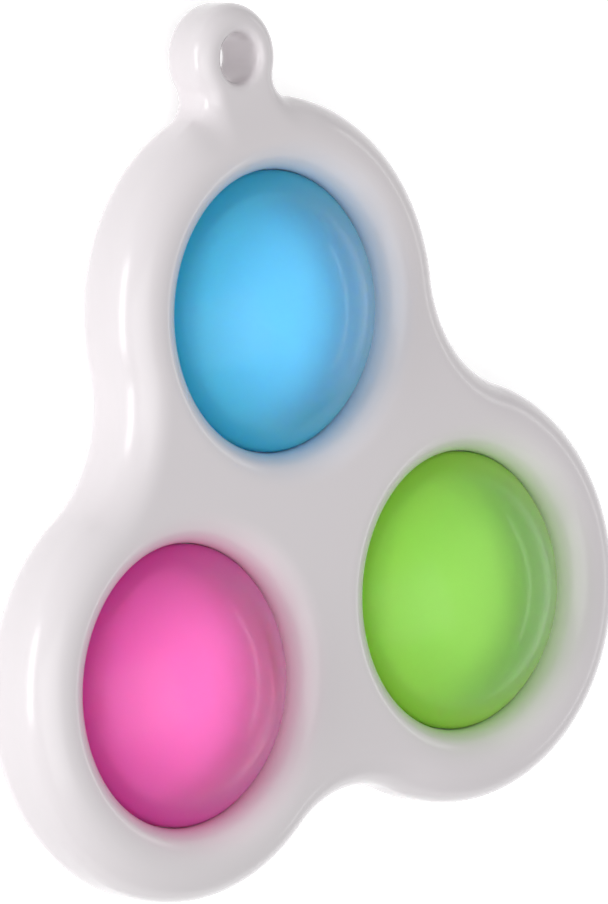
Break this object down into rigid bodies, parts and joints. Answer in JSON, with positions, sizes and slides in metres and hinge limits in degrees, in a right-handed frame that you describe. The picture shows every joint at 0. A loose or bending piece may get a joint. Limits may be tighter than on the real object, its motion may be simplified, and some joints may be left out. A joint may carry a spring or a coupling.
{
  "type": "bubble pop fidget toy",
  "caption": "Pocket fidget toy: a glossy white moulded frame of round lobes with a key loop, holding coloured silicone bubbles that pop through from one face to the other.",
  "frame": {"origin": "point midway between the three bubbles, on the flat back face that the toy lies on", "axes": "+Z out of the front face, through the bubbles; +Y towards the key loop; +X towards the green bubble"},
  "size_m": [0.0972, 0.1026, 0.0168],
  "materials": {
    "white_plastic": "glossy moulded white ABS",
    "blue_silicone": "satin moulded translucent silicone",
    "green_silicone": "satin moulded translucent silicone",
    "pink_silicone": "satin moulded translucent silicone"
  },
  "bodies": {
    "frame": {"frame": "white_plastic"},
    "blue_bubble": {"blue_bubble": "blue_silicone"},
    "green_bubble": {"green_bubble": "green_silicone"},
    "pink_bubble": {"pink_bubble": "pink_silicone"}
  },
  "joints": [
    {"name": "blue_pop", "type": "slide", "parent": "frame", "child": "blue_bubble", "axis": [0, 0, 1], "range_m": [-0.019, 0], "deforming": ["blue_bubble"]},
    {"name": "green_pop", "type": "slide", "parent": "frame", "child": "green_bubble", "axis": [0, 0, 1], "range_m": [-0.019, 0], "deforming": ["green_bubble"]},
    {"name": "pink_pop", "type": "slide", "parent": "frame", "child": "pink_bubble", "axis": [0, 0, 1], "range_m": [-0.019, 0], "deforming": ["pink_bubble"]}
  ]
}
